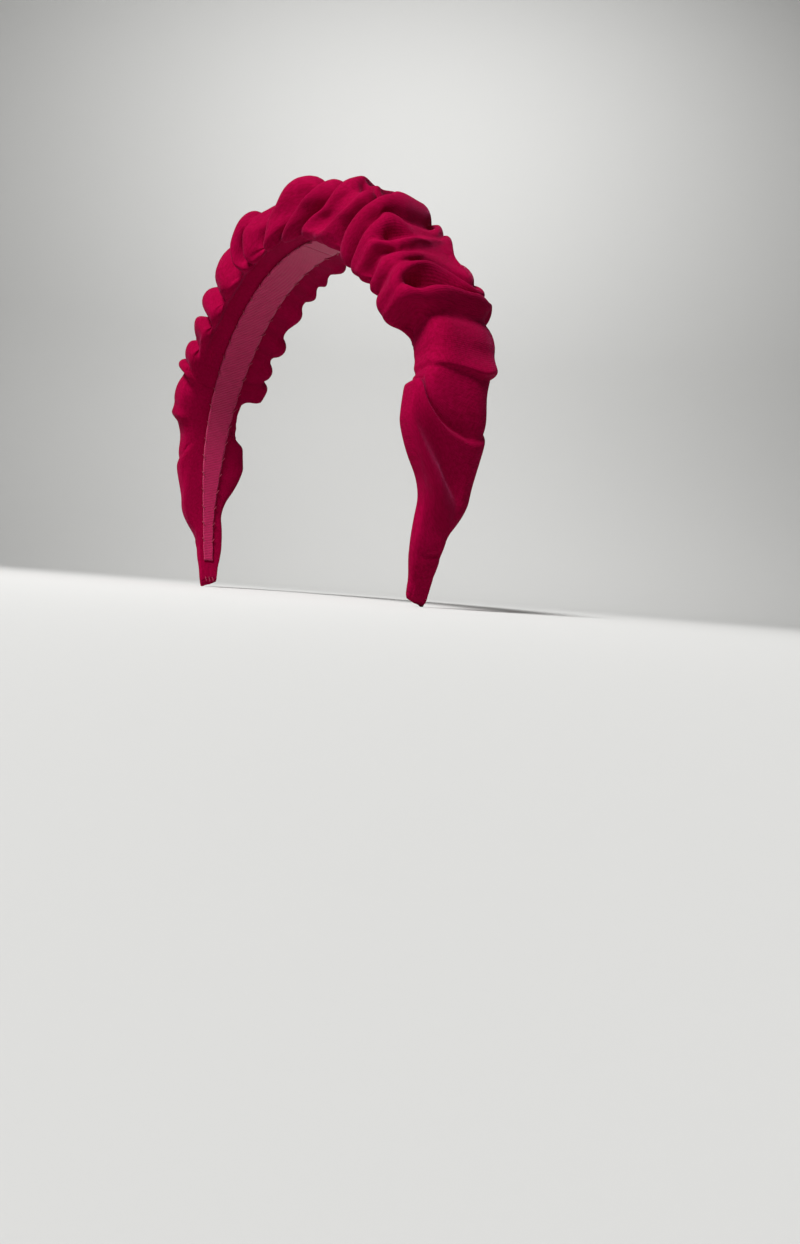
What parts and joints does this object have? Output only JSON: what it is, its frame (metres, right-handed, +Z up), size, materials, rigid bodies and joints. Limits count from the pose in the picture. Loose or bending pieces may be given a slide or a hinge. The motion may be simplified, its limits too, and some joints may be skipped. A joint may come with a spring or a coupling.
{
  "type": "ruched headband",
  "caption": "Open horseshoe headband: a sprung plastic core inside a padded tube of gathered raspberry crepe, with narrow turned-in tips.",
  "frame": {"origin": "the point of the inner face that rests on top of the head, in the middle of the crown", "axes": "+X towards the wearer's left arm, -Y towards the face, +Z up away from the head"},
  "size_m": [0.1904, 0.041, 0.1607],
  "materials": {
    "core_plastic": "satin",
    "sheath_satin": "satin",
    "wadding": "matte",
    "seam_fabric": "matte",
    "cover_crepe": "satin",
    "lining_ribbon": "satin",
    "thread": "satin"
  },
  "bodies": {
    "crown": {"core_crown": "core_plastic", "sheath_crown": "sheath_satin", "padding_crown": "wadding", "seam_crown": "seam_fabric", "cover_crown": "cover_crepe", "lining_crown": "lining_ribbon", "lining_stitches_crown": "thread"},
    "left_arm": {"core_left": "core_plastic", "sheath_left": "sheath_satin", "padding_left": "wadding", "seam_left": "seam_fabric", "cover_left": "cover_crepe", "lining_left": "lining_ribbon", "lining_stitches_left": "thread", "end_fold_left": "cover_crepe", "end_stitches_left": "thread"},
    "right_arm": {"core_right": "core_plastic", "sheath_right": "sheath_satin", "padding_right": "wadding", "seam_right": "seam_fabric", "cover_right": "cover_crepe", "lining_right": "lining_ribbon", "lining_stitches_right": "thread", "end_fold_right": "cover_crepe", "end_stitches_right": "thread"}
  },
  "joints": [
    {"name": "left_arm_flex", "type": "hinge", "parent": "crown", "child": "left_arm", "pos_m": [0.03482, 0, -0.00575], "axis": [0, -1, 0], "range_deg": [-5, 12], "stiffness_Nm_per_rad": 1.2},
    {"name": "right_arm_flex", "type": "hinge", "parent": "crown", "child": "right_arm", "pos_m": [-0.03482, 0, -0.00575], "axis": [0, 1, 0], "range_deg": [-5, 12], "stiffness_Nm_per_rad": 1.2}
  ]
}
